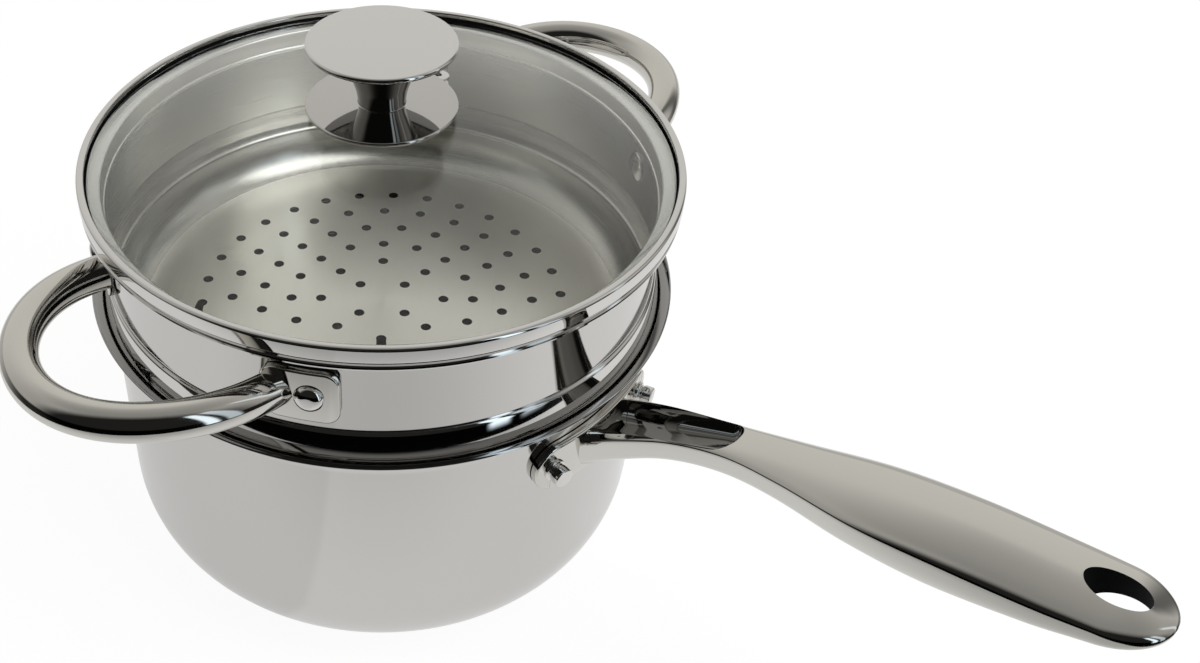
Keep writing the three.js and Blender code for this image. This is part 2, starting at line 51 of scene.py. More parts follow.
# %% Sizes
MM = 0.001
POT_RADIUS = 97.8
POT_WALL = 1.0
POT_LIP = 115.1
FLARE_START = 106.16
BASE_TOP = 5.0
LEDGE = 113.79
LEDGE_RADIUS = 100.0
SINK_RADIUS = 95.3
FLOOR_TOP = 98.09
STEAMER_SHEET = 0.8
STEAMER_RADIUS = 96.7
STEAMER_NECK = 153.79
STEAMER_TURN = -2
TAB_HEIGHT = 138.59
LID_RADIUS = 102.8
BAND_BOTTOM = 157.78
BAND_TOP = 163.28
SKIRT_RADIUS = 95.4
RIM_INNER = 100.2
GLASS_EDGE = 100.0
GLASS_TOP = 178.68
GLASS_EDGE_TOP = 160.4
GLASS_THICK = 3.6
GLASS_EDGE_THICK = 2.7
KNOB_BOTTOM = 180.28
HANDLE_RIVET_HEIGHT = 93.5
FULL_TURN = 2 * math.pi
print("pot radius:", POT_RADIUS, "lip at:", POT_LIP, "glass top at:", GLASS_TOP)

# %% [markdown]
# Every piece ends the same way: the bmesh becomes a mesh object at the origin, its normals are smoothed
# except over real corners, and it is told which body it moves with and which solid it stands for.

# %% Finish a piece
def finish_piece(bm, name, body, materials, stands_for=(), corner=32):
    mesh = bpy.data.meshes.new(name)
    bm.to_mesh(mesh)
    bm.free()
    mesh.shade_smooth()
    mesh.set_sharp_from_angle(angle=math.radians(corner))
    for material in materials:
        mesh.materials.append(material)
    piece = bpy.data.objects.new(name, mesh)
    bpy.context.scene.collection.objects.link(piece)
    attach(piece, body)
    if stands_for:
        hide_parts(*stands_for)
    print(name, "faces:", len(mesh.polygons))


# %% [markdown]
# A spun piece starts as an outline of a few corners in the XZ plane. A vertex bevel rounds the corners that
# the tool would round, and bmesh.ops.spin turns the outline about Z. A third number is the rounding in
# millimetres, or a share of both edges if a fourth item says so, which makes an oval corner. An outline that
# closes on itself gives a solid, and an open one gives a skin that is thickened later.

# %% Spin an outline
def spin_round(bm, steps):
    bmesh.ops.spin(bm, geom=bm.verts[:] + bm.edges[:], cent=(0, 0, 0), axis=(0, 0, 1),
                   angle=FULL_TURN, steps=steps, use_merge=True)
    bmesh.ops.remove_doubles(bm, verts=bm.verts[:], dist=1e-7)
    bmesh.ops.recalc_face_normals(bm, faces=bm.faces[:])


def spin_outline(outline, steps=160, closed=False, segments=8):
    bm = bmesh.new()
    corners = [bm.verts.new((radius * MM, 0, height * MM)) for radius, height, *_ in outline]
    pairs = list(zip(corners, corners[1:]))
    if closed:
        pairs.append((corners[-1], corners[0]))
    for pair in pairs:
        bm.edges.new(pair)
    for corner, (_, _, *rounding) in zip(corners, outline):
        share = len(rounding) == 2
        if rounding and rounding[0] > 0:
            bmesh.ops.bevel(bm, geom=[corner], offset=rounding[0] if share else rounding[0] * MM,
                            offset_type="PERCENT" if share else "OFFSET", segments=segments,
                            profile=0.5, affect="VERTICES", material=-1)
    spin_round(bm, steps)
    return bm


# %% [markdown]
# Sheet metal has one thickness all over. The open outline is its outer skin, so the wall grows inwards from
# it, and the cut edge is softened a little, as a maker would before anybody handles it.

# %% Thicken a spun skin
def radial_out(face):
    middle = face.calc_center_median()
    return Vector((middle.x, middle.y, 0)).normalized().dot(face.normal)


def round_off(bm, geom, amount, segments, affect="VERTICES"):
    bmesh.ops.bevel(bm, geom=geom, offset=amount * MM, offset_type="OFFSET", segments=segments,
                    profile=0.5, affect=affect, material=-1)


def thicken(bm, thickness, edge_round):
    widest = max(bm.faces, key=lambda f: f.calc_center_median().xy.length)
    if radial_out(widest) < 0:
        bmesh.ops.reverse_faces(bm, faces=bm.faces[:])
    bmesh.ops.solidify(bm, geom=bm.faces[:], thickness=thickness * MM)
    rim = [e for e in bm.edges if e.calc_face_angle(0) > math.radians(60)]
    if edge_round:
        round_off(bm, rim, edge_round, 2, "EDGES")
    bmesh.ops.recalc_face_normals(bm, faces=bm.faces[:])


# %% [markdown]
# Materials share a few effects, and each effect is one node group. Polished sheet is never perfectly even:
# its reflections swim a little, and a faint haze changes how sharp they are. Satin sheet is brushed round
# the axis, so fine lines run along the turning direction. Both groups read Object coordinates, since every
# piece sits at the origin, and put out only values that change over the surface.

# %% Node group helpers
def new_group(name, inputs, outputs):
    group = bpy.data.node_groups.new(name, "ShaderNodeTree")
    for label, value in inputs:
        socket = group.interface.new_socket(label, in_out="INPUT", socket_type="NodeSocketFloat")
        socket.default_value = value
    for label, kind in outputs:
        group.interface.new_socket(label, in_out="OUTPUT", socket_type=kind)
    return group, group.nodes.new("NodeGroupInput"), group.nodes.new("NodeGroupOutput")


def math_node(tree, operation, first, second=None):
    node = tree.nodes.new("ShaderNodeMath")
    node.operation = operation
    for socket, value in zip(node.inputs, (first, second)):
        if value is None:
            continue
        if isinstance(value, (int, float)):
            socket.default_value = value
        else:
            tree.links.new(value, socket)
    return node.outputs[0]


# %% Polish haze: even noise that varies roughness and makes reflections swim
polish, polish_in, polish_out = new_group(
    "polish_haze",
    [("Roughness", 0.05), ("Haze", 0.03), ("Swim Scale", 18.0)],
    [("Roughness", "NodeSocketFloat"), ("Height", "NodeSocketFloat")])
place = polish.nodes.new("ShaderNodeTexCoord")
swim = polish.nodes.new("ShaderNodeTexNoise")
swim.inputs["Detail"].default_value = 1.0
polish.links.new(place.outputs["Object"], swim.inputs["Vector"])
polish.links.new(polish_in.outputs["Swim Scale"], swim.inputs["Scale"])
cloud = polish.nodes.new("ShaderNodeTexNoise")
cloud.inputs["Scale"].default_value = 60.0
cloud.inputs["Detail"].default_value = 4.0
polish.links.new(place.outputs["Object"], cloud.inputs["Vector"])
haze = math_node(polish, "MULTIPLY", cloud.outputs["Fac"], polish_in.outputs["Haze"])
hazy = math_node(polish, "ADD", haze, polish_in.outputs["Roughness"])
polish.links.new(hazy, polish_out.inputs["Roughness"])
polish.links.new(swim.outputs["Fac"], polish_out.inputs["Height"])
print("group:", polish.name)

# %% Brushed rings: fine lines that run round the axis
brush, brush_in, brush_out = new_group(
    "brushed_rings",
    [("Roughness", 0.3), ("Spread", 0.12), ("Lines per Metre", 2600.0)],
    [("Roughness", "NodeSocketFloat"), ("Height", "NodeSocketFloat"), ("Shade", "NodeSocketFloat")])
place = brush.nodes.new("ShaderNodeTexCoord")
apart = brush.nodes.new("ShaderNodeSeparateXYZ")
brush.links.new(place.outputs["Object"], apart.inputs[0])
square_x = math_node(brush, "MULTIPLY", apart.outputs["X"], apart.outputs["X"])
square_y = math_node(brush, "MULTIPLY", apart.outputs["Y"], apart.outputs["Y"])
radius = math_node(brush, "SQRT", math_node(brush, "ADD", square_x, square_y))
across = math_node(brush, "ADD", radius, apart.outputs["Z"])
angle = math_node(brush, "ARCTAN2", apart.outputs["Y"], apart.outputs["X"])
grain = brush.nodes.new("ShaderNodeCombineXYZ")
brush.links.new(math_node(brush, "MULTIPLY", across, brush_in.outputs["Lines per Metre"]), grain.inputs["X"])
brush.links.new(math_node(brush, "MULTIPLY", math_node(brush, "COSINE", angle), 2.0), grain.inputs["Y"])
brush.links.new(math_node(brush, "MULTIPLY", math_node(brush, "SINE", angle), 2.0), grain.inputs["Z"])
lines = brush.nodes.new("ShaderNodeTexNoise")
lines.inputs["Scale"].default_value = 1.0
lines.inputs["Detail"].default_value = 3.0
brush.links.new(grain.outputs[0], lines.inputs["Vector"])
spread = math_node(brush, "MULTIPLY", lines.outputs["Fac"], brush_in.outputs["Spread"])
brushed = math_node(brush, "ADD", spread, brush_in.outputs["Roughness"])
brush.links.new(brushed, brush_out.inputs["Roughness"])
brush.links.new(lines.outputs["Fac"], brush_out.inputs["Height"])
brush.links.new(lines.outputs["Fac"], brush_out.inputs["Shade"])
print("group:", brush.name)

# %% [markdown]
# Polished stainless steel is a metal with a faint warm tint and almost no roughness. The bump from the haze
# group is tiny: just enough that straight reflections bend a little, as they do on real pressed sheet.
# Every steel starts alike, from a Principled shader whose roughness comes out of one of the two groups.

# %% Polished steel
def start_material(name, group, roughness, metallic):
    material = bpy.data.materials.new(name)
    material.use_nodes = True
    tree = material.node_tree
    surface = tree.nodes["Principled BSDF"]
    surface.inputs["Metallic"].default_value = metallic
    effect = tree.nodes.new("ShaderNodeGroup")
    effect.node_tree = group
    effect.inputs["Roughness"].default_value = roughness
    tree.links.new(effect.outputs["Roughness"], surface.inputs["Roughness"])
    return material, tree, surface, effect


def add_bump(tree, effect, surface, strength, depth):
    bump = tree.nodes.new("ShaderNodeBump")
    bump.inputs["Strength"].default_value = strength
    bump.inputs["Distance"].default_value = depth * MM
    tree.links.new(effect.outputs["Height"], bump.inputs["Height"])
    tree.links.new(bump.outputs["Normal"], surface.inputs["Normal"])


def polished_steel(name, colour, roughness, haze, swim_scale, swim_depth):
    material, tree, surface, effect = start_material(name, polish, roughness, 1.0)
    surface.inputs["Base Color"].default_value = (*colour, 1)
    effect.inputs["Haze"].default_value = haze
    effect.inputs["Swim Scale"].default_value = swim_scale
    add_bump(tree, effect, surface, 1.0, swim_depth)
    return material


# Colour, roughness, haze, swim scale and swim depth in millimetres
wall_polish = polished_steel("wall_polish", (0.64, 0.63, 0.61), 0.045, 0.03, 9.0, 0.10)
bright_polish = polished_steel("bright_polish", (0.72, 0.71, 0.69), 0.02, 0.02, 22.0, 0.02)
knob_polish = polished_steel("knob_polish", (0.56, 0.55, 0.53), 0.03, 0.03, 22.0, 0.02)
handle_polish = polished_steel("handle_polish", (0.66, 0.645, 0.605), 0.05, 0.04, 25.0, 0.02)
# The next dark copy of the polish is painted shade, for the knob's stem, the cap's underside and the handle's
# scoop.
painted_shade_polish = polished_steel("painted_shade_polish", (0.22, 0.215, 0.205), 0.04, 0.03, 25.0, 0.02)
# The grey copy after it is painted shade inside the pot's flare, under the steamer's ledge.
painted_shade_flare = polished_steel("painted_shade_flare", (0.43, 0.43, 0.43), 0.02, 0.02, 22.0, 0.02)
print("polished:", wall_polish.name, bright_polish.name, knob_polish.name, handle_polish.name,
      painted_shade_polish.name, painted_shade_flare.name)

# %% [markdown]
# The inside is satin. Brushing round the axis stretches each highlight across the lines, so the floor shows
# a bright fan through its middle. The Principled shader does that with its Anisotropic value and a Tangent
# that runs round the axis, worked out from Object coordinates as the cross product with Z. The stretch goes
# along the tangent, so a quarter turn puts it across the lines.

# %% Satin steel
QUARTER_TURN = 0.25


def shade_colour(tree, factor, surface, colour, darkest, lightest):
    shade = tree.nodes.new("ShaderNodeMix")
    shade.data_type = "RGBA"
    shade.inputs["A"].default_value = (*[c * darkest for c in colour], 1)
    shade.inputs["B"].default_value = (*[min(c * lightest, 1) for c in colour], 1)
    tree.links.new(factor, shade.inputs["Factor"])
    tree.links.new(shade.outputs["Result"], surface.inputs["Base Color"])


def satin_steel(name, colour, roughness, spread, anisotropy, line_depth):
    material, tree, surface, effect = start_material(name, brush, roughness, 1.0)
    surface.inputs["Anisotropic"].default_value = anisotropy
    surface.inputs["Anisotropic Rotation"].default_value = QUARTER_TURN
    effect.inputs["Spread"].default_value = spread
    shade_colour(tree, effect.outputs["Shade"], surface, colour, 0.94, 1.06)
    add_bump(tree, effect, surface, 0.25, line_depth)
    place = tree.nodes.new("ShaderNodeTexCoord")
    turn = tree.nodes.new("ShaderNodeVectorMath")
    turn.operation = "CROSS_PRODUCT"
    turn.inputs[0].default_value = (0, 0, 1)
    tree.links.new(place.outputs["Object"], turn.inputs[1])
    to_world = tree.nodes.new("ShaderNodeVectorTransform")
    to_world.vector_type = "VECTOR"
    to_world.convert_from = "OBJECT"
    to_world.convert_to = "WORLD"
    tree.links.new(turn.outputs[0], to_world.inputs[0])
    tree.links.new(to_world.outputs[0], surface.inputs["Tangent"])
    return material


# Colour, roughness, spread of roughness, anisotropy and line depth in millimetres
satin_inside = satin_steel("satin_inside", (0.60, 0.585, 0.545), 0.24, 0.05, 0.6, 0.0015)
# The second satin is a lighter copy of the first: painted light for the steamer's upward floor and the lid
# skirt's inner face.
satin_painted_light = satin_steel("satin_painted_light", (0.88, 0.855, 0.79), 0.30, 0.05, 0.6, 0.001)
satin_plain = satin_steel("satin_plain", (0.60, 0.59, 0.56), 0.30, 0.10, 0.2, 0.003)
print("satin:", satin_inside.name, satin_painted_light.name, satin_plain.name)

# %% [markdown]
# Clear glass is the Principled shader with full transmission. Light on its way to the food would be stopped
# by a refracting surface, so for shadow rays only, Light Path swaps it for a plain transparent shader.

# %% Clear glass
clear_glass = bpy.data.materials.new("clear_glass")
clear_glass.use_nodes = True
tree = clear_glass.node_tree
surface = tree.nodes["Principled BSDF"]
surface.inputs["Base Color"].default_value = (0.97, 0.985, 0.98, 1)
surface.inputs["Roughness"].default_value = 0.0
surface.inputs["IOR"].default_value = 1.46
surface.inputs["Specular IOR Level"].default_value = 0.15
surface.inputs["Transmission Weight"].default_value = 1.0
passing = tree.nodes.new("ShaderNodeBsdfTransparent")
passing.inputs["Color"].default_value = (0.93, 0.95, 0.94, 1)
rays = tree.nodes.new("ShaderNodeLightPath")
mix = tree.nodes.new("ShaderNodeMixShader")
tree.links.new(rays.outputs["Is Shadow Ray"], mix.inputs[0])
tree.links.new(surface.outputs[0], mix.inputs[1])
tree.links.new(passing.outputs[0], mix.inputs[2])
tree.links.new(mix.outputs[0], tree.nodes["Material Output"].inputs["Surface"])
print("glass:", clear_glass.name)

# %% [markdown]
# Three finishes show very little: the grey silicone of the knob's washer, the aluminium in the base, and a
# nearly black finish that is painted shade, put on the handle's punched hole, the rim's inner corner and the
# glass's edge. One function makes all three, and reuses the haze group so that none of them is a single flat
# colour.

# %% Silicone, aluminium and painted shade
def plain_material(name, colour, roughness, metallic, shine=0.5):
    material, tree, surface, effect = start_material(name, polish, roughness, metallic)
    surface.inputs["Specular IOR Level"].default_value = shine
    effect.inputs["Haze"].default_value = 0.15
    shade_colour(tree, effect.outputs["Height"], surface, colour, 0.9, 1.0)
    return material


grey_silicone = plain_material("grey_silicone", (0.22, 0.22, 0.22), 0.55, 0.0)
base_aluminium = plain_material("base_aluminium", (0.62, 0.63, 0.64), 0.4, 1.0)
# The nearly black finish below is painted shade, not the colour of cut steel.
painted_shade_black = plain_material("painted_shade_black", (0.008, 0.008, 0.008), 0.6, 0.0, 0.1)
print("other finishes:", grey_silicone.name, base_aluminium.name, painted_shade_black.name)

# %% [markdown]
# ## The saucepan
# The pot is one deep spun sheet: a flat bottom, a generous oval corner, an upright wall and a lip that
# flares out to seat the steamer. Its outside is polished and its inside is satin, so after the sheet gets
# its thickness the inner faces take the second material. Inside the flare, under the steamer's ledge, the
# steel takes a darker copy of the polish, which is painted shade.

# %% Pot shell
def dress(bm, choose):
    for face in bm.faces:
        face.material_index = choose(face.calc_center_median(), face.normal, radial_out(face))


CORNER_IN = 52
CORNER_UP = 63
CORNER_SHARE = 50
LIP_BEND = 5.19
LIP_OUT = 6.49
SATIN_TOP = 107.0
WALL_STEPS = 192
pot = spin_outline([
    (0, BASE_TOP), (POT_RADIUS - CORNER_IN, BASE_TOP), (POT_RADIUS, BASE_TOP, CORNER_SHARE, "PERCENT"),
    (POT_RADIUS, BASE_TOP + CORNER_UP), (POT_RADIUS, FLARE_START + LIP_BEND, LIP_BEND),
    (POT_RADIUS + LIP_OUT, POT_LIP),
], steps=WALL_STEPS, segments=14)
thicken(pot, POT_WALL, 0.3)


def pot_finish(at, normal, out):
    if out > -0.2 and normal.z < 0.5:
        return 0
    return 1 if at.z < SATIN_TOP * MM else 2


dress(pot, pot_finish)
finish_piece(pot, "pot_shell", "pot", [wall_polish, satin_inside, painted_shade_flare], ["pot_body"])

# %% [markdown]
# Under the bottom sits a bonded base: an aluminium disc, which stays as the plain solid because it is sealed
# in, and a shallow steel cap around it whose flat underside the pot stands on.

# %% Base cap
CAP_RADIUS = 71.3
CAP_INNER = 70.5
CAP_SHEET = 0.8
CAP_HEIGHT = 4.7
base = spin_outline([
    (0, 0), (CAP_RADIUS, 0, 1.6), (CAP_RADIUS, CAP_HEIGHT, 0.2), (CAP_INNER, CAP_HEIGHT, 0.2),
    (CAP_INNER, CAP_SHEET, 0.5), (0, CAP_SHEET),
])
finish_piece(base, "base_shell", "pot", [satin_plain], ["base_cap"])
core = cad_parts["base_core_disc"].data
core.materials.clear()
core.materials.append(base_aluminium)

# %% [markdown]
# ## Plates that hug a wall
# The wing plate of the long handle and the four tabs of the loops are stamped from flat strip and bent to
# the wall. So each starts as a flat rounded face, is sliced across so that it can bend, is bent onto a
# cylinder, and is then pushed outwards to its thickness. Its front edge is eased all round.

# %% Bent plate
def bent_plate(width, height, corner, inner, outer, ease):
    bm = bmesh.new()
    bmesh.ops.create_grid(bm, x_segments=1, y_segments=1, size=0.5)
    bmesh.ops.scale(bm, vec=(width * MM, height * MM, 1), verts=bm.verts[:])
    round_off(bm, bm.verts[:], corner, 9)
    slices = max(8, int(width / 1.5))
    for i in range(1, slices):
        across = (i / slices - 0.5) * width * MM
        bmesh.ops.bisect_plane(bm, geom=bm.verts[:] + bm.edges[:] + bm.faces[:], dist=1e-7,
                               plane_co=(across, 0, 0), plane_no=(1, 0, 0))
    grown = bmesh.ops.extrude_face_region(bm, geom=bm.faces[:])["geom"]
    front = {v for v in grown if isinstance(v, bmesh.types.BMVert)}
    for v in bm.verts:
        reach = (outer if v in front else inner) * MM
        angle = v.co.x / (outer * MM)
        v.co = Vector((reach * math.cos(angle), reach * math.sin(angle), v.co.y))
    bmesh.ops.recalc_face_normals(bm, faces=bm.faces[:])
    edge = [e for e in bm.edges if e.calc_face_angle(0) > math.radians(60)
            and min(v.co.xy.length for v in e.verts) > (outer - 0.01) * MM]
    round_off(bm, edge, ease, 4, "EDGES")
    return bm


# %% [markdown]
# A piece is made at the axis, where its numbers are simple, and is then tipped, turned and moved to its
# place. The vertices are moved and not the object, so every object keeps its origin on the pot's axis.

# %% Tilt, move, turn and join
def tilt(bm, degrees, axis):
    bmesh.ops.rotate(bm, cent=(0, 0, 0), matrix=Matrix.Rotation(math.radians(degrees), 3, axis),
                     verts=bm.verts[:])


def move(bm, x, y, z):
    bmesh.ops.translate(bm, vec=(x * MM, y * MM, z * MM), verts=bm.verts[:])


def turn(bm, degrees, lift=0.0):
    tilt(bm, degrees, "Z")
    move(bm, 0, 0, lift)
    return bm


def join(*parts):
    whole = parts[0]
    for part in parts[1:]:
        mesh = bpy.data.meshes.new("joined")
        part.to_mesh(mesh)
        part.free()
        whole.from_mesh(mesh)
        bpy.data.meshes.remove(mesh)
    return whole


# %% [markdown]
# ## The long handle
# The handle is one drop-forged bar. A flat grid is wrapped into its skin: one direction runs along the bar
# and the other round it. Between a few measured sections the sizes are eased, so the narrow dished neck
# swells into the broad grip. The tip is closed by letting the section shrink to a point.

# %% Handle sections
SECTIONS = [
    # out from wall, top above rivets, half width, depth, crown, hollow underneath
    (0.5, 8.5, 14, 20, 0, 0),
    (14, 16, 11.6, 16.2, 0, 0),
    (30, 23.4, 9.0, 13.4, 0, 0),
    (48, 29.2, 8.2, 12.6, 0.3, 0),
    (66, 33.2, 10.4, 13, 1.2, 0),
    (92, 38.2, 15.0, 16.2, 2, 0),
    (117, 42.4, 16.0, 18.8, 2.2, 0.1),
    (142, 45.0, 15.4, 16.6, 2, 0.5),
    (160, 46.6, 14.2, 12, 1.6, 0.78),
    (172.4, 47.0, 13.4, 9, 1.2, 0.8),
]
TIP_ROUND = 15
TIP_BLUNTNESS = 0.8
SQUARENESS = 0.72
RIDGE = 1.25
ROOF_SHARE = 0.3


def eased(out):
    last = len(SECTIONS) - 1
    i = max(k for k in range(last) if SECTIONS[k][0] <= out or k == 0)
    span = SECTIONS[i + 1][0] - SECTIONS[i][0]
    t = min(max((out - SECTIONS[i][0]) / span, 0), 1)

    def slope(k, item):
        a, b = max(k - 1, 0), min(k + 1, last)
        return (SECTIONS[b][item] - SECTIONS[a][item]) / (SECTIONS[b][0] - SECTIONS[a][0])

    ways = []
    for item in range(1, 6):
        start, end = SECTIONS[i][item], SECTIONS[i + 1][item]
        ways.append((2 * t**3 - 3 * t**2 + 1) * start + (t**3 - 2 * t**2 + t) * span * slope(i, item)
                    + (3 * t**2 - 2 * t**3) * end + (t**3 - t**2) * span * slope(i + 1, item))
    return ways


def handle_point(along, around):
    first, last = SECTIONS[0][0], SECTIONS[-1][0]
    out = first + (last - first) * along
    top, half, depth, crown, hollow = eased(out)
    past = max(0, (out - (last - TIP_ROUND)) / TIP_ROUND)
    closing = math.sqrt(max(0, 1 - past * past))
    cos, sin = math.cos(around), math.sin(around)
    across = math.copysign(abs(cos) ** SQUARENESS, cos)
    up = math.copysign(abs(sin) ** SQUARENESS, sin)
    roof = depth * ROOF_SHARE + crown * (1 - abs(across) ** RIDGE)
    belly = depth * (1 - ROOF_SHARE) * (1 - hollow * (1 - across**4))
    reach = roof if up > 0 else belly
    height = HANDLE_RIVET_HEIGHT + top - ROOF_SHARE * depth + reach * up * closing**TIP_BLUNTNESS
    return Vector((POT_RADIUS + out, half * closing * across, height)) * MM


print("handle sections:", len(SECTIONS), "reach:", SECTIONS[-1][0], "mm")

# %% Handle skin
TIP_CROWDING = 1.35


def handle_skin(stations=110, sides=72):
    bm = bmesh.new()
    bmesh.ops.create_grid(bm, x_segments=stations, y_segments=sides, size=0.5)
    for v in bm.verts:
        along = v.co.x + 0.5
        v.co = handle_point(1 - (1 - along) ** TIP_CROWDING, (v.co.y + 0.5) * FULL_TURN)
    bmesh.ops.remove_doubles(bm, verts=bm.verts[:], dist=2e-6)
    root = [e for e in bm.edges if e.is_boundary]
    bmesh.ops.holes_fill(bm, edges=root, sides=0)
    bmesh.ops.recalc_face_normals(bm, faces=bm.faces[:])
    return bm


# %% [markdown]
# Two cuts finish the bar. A rounded cutter mills the long scoop in the top of the neck, and an oval punch
# makes the hanging hole near the tip. Each tool is a flat face raised to a block, which is quicker to shape
# than dents in the skin itself would be. The scoop's block is wider where it meets the pot.

# %% Scoop cutter and hole punch
def raise_face(bm, height):
    raised = bmesh.ops.extrude_face_region(bm, geom=bm.faces[:])["geom"]
    upper = [v for v in raised if isinstance(v, bmesh.types.BMVert)]
    bmesh.ops.translate(bm, vec=(0, 0, height * MM), verts=upper)


END_ROUND = 0.46
ROOT_SPREAD = 0.3


def scoop_cutter(length, width, depth, round_by, start, rise, slope):
    bm = bmesh.new()
    bmesh.ops.create_grid(bm, x_segments=1, y_segments=1, size=0.5)
    bmesh.ops.scale(bm, vec=(length * MM, width * MM, 1), verts=bm.verts[:])
    round_off(bm, bm.verts[:], END_ROUND * width, 16)
    raise_face(bm, 3 * depth)
    move(bm, length / 2, 0, -depth)
    bmesh.ops.recalc_face_normals(bm, faces=bm.faces[:])
    sole = [e for e in bm.edges if max(v.co.z for v in e.verts) < -0.99 * depth * MM]
    round_off(bm, sole, round_by, 10, "EDGES")
    for v in bm.verts:
        v.co.y *= 1 + ROOT_SPREAD * (1 - v.co.x / (length * MM))
    tilt(bm, -slope, "Y")
    move(bm, POT_RADIUS + start, 0, HANDLE_RIVET_HEIGHT + rise)
    return bm


PUNCH_LENGTH = 60
PUNCH_BELOW = 40


def oval_punch(middle, height, half_long, half_wide, lean):
    bm = bmesh.new()
    bmesh.ops.create_circle(bm, cap_ends=True, segments=72, radius=MM)
    bmesh.ops.scale(bm, vec=(half_long, half_wide, 1), verts=bm.verts[:])
    raise_face(bm, PUNCH_LENGTH)
    move(bm, 0, 0, -PUNCH_BELOW)
    tilt(bm, -lean, "Y")
    move(bm, middle, 0, height)
    bmesh.ops.recalc_face_normals(bm, faces=bm.faces[:])
    return bm


# %% [markdown]
# Each cut is a Boolean difference that is worked out once, and the cutter is thrown away, so what stays is
# plain mesh. The cut faces keep the cutter's finish: the scoop takes a dark copy of the polish and the wall
# of the hole takes near black, both painted shade. The wing plate is joined on last.

# %% Cut the bar and join the wing plate
HANDLE_FINISHES = [handle_polish, painted_shade_black, painted_shade_polish]


def as_object(bm, name):
    mesh = bpy.data.meshes.new(name)
    bm.to_mesh(mesh)
    bm.free()
    for material in HANDLE_FINISHES:
        mesh.materials.append(material)
    made = bpy.data.objects.new(name, mesh)
    bpy.context.scene.collection.objects.link(made)
    return made


def cut_away(bm, cutter_bm, finish):
    for face in cutter_bm.faces:
        face.material_index = HANDLE_FINISHES.index(finish)
    whole = as_object(bm, "whole")
    cutter = as_object(cutter_bm, "cutter")
    cut = whole.modifiers.new("cut", "BOOLEAN")
    cut.object = cutter
    cut.operation = "DIFFERENCE"
    cut.solver = "EXACT"
    bpy.context.view_layer.update()
    graph = bpy.context.evaluated_depsgraph_get()
    done = bpy.data.meshes.new_from_object(whole.evaluated_get(graph))
    result = bmesh.new()
    result.from_mesh(done)
    for mesh in (done, whole.data, cutter.data):
        bpy.data.meshes.remove(mesh)
    return result


scoop = scoop_cutter(length=57, width=16, depth=6.6, round_by=6.4, start=-3, rise=8.2, slope=25)
hole = oval_punch(middle=254.3, height=141, half_long=8.2, half_wide=6.0, lean=20)
bar = cut_away(cut_away(handle_skin(), scoop, painted_shade_polish), hole, painted_shade_black)
wing = bent_plate(width=64.4, height=19, corner=9.3, inner=98.1, outer=100.9, ease=0.9)
finish_piece(join(bar, turn(wing, 0, HANDLE_RIVET_HEIGHT)), "long_handle", "pot", HANDLE_FINISHES,
             ["pan_handle"], corner=40)

# %% [markdown]
# Two turned studs hold the wing plate. Each stands proud of it with a couple of turned grooves and a flat,
# eased end, and shows a low head on the inside of the pot.

# %% Handle studs
def lay_out(bm, degrees, height):
    tilt(bm, 90, "Y")
    return turn(bm, degrees, height)


def handle_stud():
    outside = spin_outline([
        (0, 100.5), (4.1, 100.5), (4.1, 101.7, 0.4), (3.1, 102.0, 0.2), (3.1, 102.7, 0.2),
        (3.5, 103.0, 0.2), (3.5, 106.2, 0.5), (0, 106.2),
    ], steps=40, segments=4)
    inside = spin_outline([
        (0, 95.1), (3.4, 95.1, 2.0), (5.5, 96.4, 0.4), (5.5, 96.9), (0, 96.9),
    ], steps=40)
    return join(outside, inside)


STUD_ANGLE = 14
for side, name in ((1, "left"), (-1, "right")):
    stud = lay_out(handle_stud(), side * STUD_ANGLE, HANDLE_RIVET_HEIGHT)
    finish_piece(stud, "handle_stud_" + name, "pot", [bright_polish], ["pan_handle_rivet_" + name])

# %% [markdown]
# ## The steamer insert
# The insert is a second spun sheet, stepped so that its lower part sinks into the pot and its ledge rests on
# the pot's lip. Its floor is punched: rings of round holes are drawn inside the floor's outline and one
# triangle fill makes the sheet between them. The wall is spun from the same ring of points and merged on.

# %% Perforated floor
HOLE_COUNTS = (4, 8, 16, 20, 24, 30)
HOLE_FIRST = 11.7
HOLE_PITCH = 10.9
HOLE_RADIUS = 1.9
FLOOR_FLAT = 80.0
FLOOR_UNDER = FLOOR_TOP - STEAMER_SHEET
FIRST_HOLE_ANGLE = 88


def perforated_floor():
    bm = bmesh.new()
    bmesh.ops.create_circle(bm, segments=WALL_STEPS, radius=FLOOR_FLAT * MM)
    for ring, count in enumerate(HOLE_COUNTS):
        shift = 0.5 if ring == len(HOLE_COUNTS) - 1 else 0
        for i in range(count):
            angle = math.radians(FIRST_HOLE_ANGLE + 360 * (i + shift) / count)
            out = (HOLE_FIRST + HOLE_PITCH * ring) * MM
            place = Matrix.Translation((out * math.cos(angle), out * math.sin(angle), 0))
            bmesh.ops.create_circle(bm, segments=18, radius=HOLE_RADIUS * MM, matrix=place)
    bmesh.ops.triangle_fill(bm, edges=bm.edges[:], use_beauty=True, use_dissolve=False)
    move(bm, 0, 0, FLOOR_UNDER)
    return bm


print("floor holes:", sum(HOLE_COUNTS))

# %% [markdown]
# Above the floor the sheet turns up in a broad round, steps out to the ledge, leans in again as a polished
# cone and ends in a flared lip. Its edge is rolled to a bead, which is a small ring of its own, since a
# rolled edge is thicker than the sheet. The finish follows from where a face lies and which way it looks.

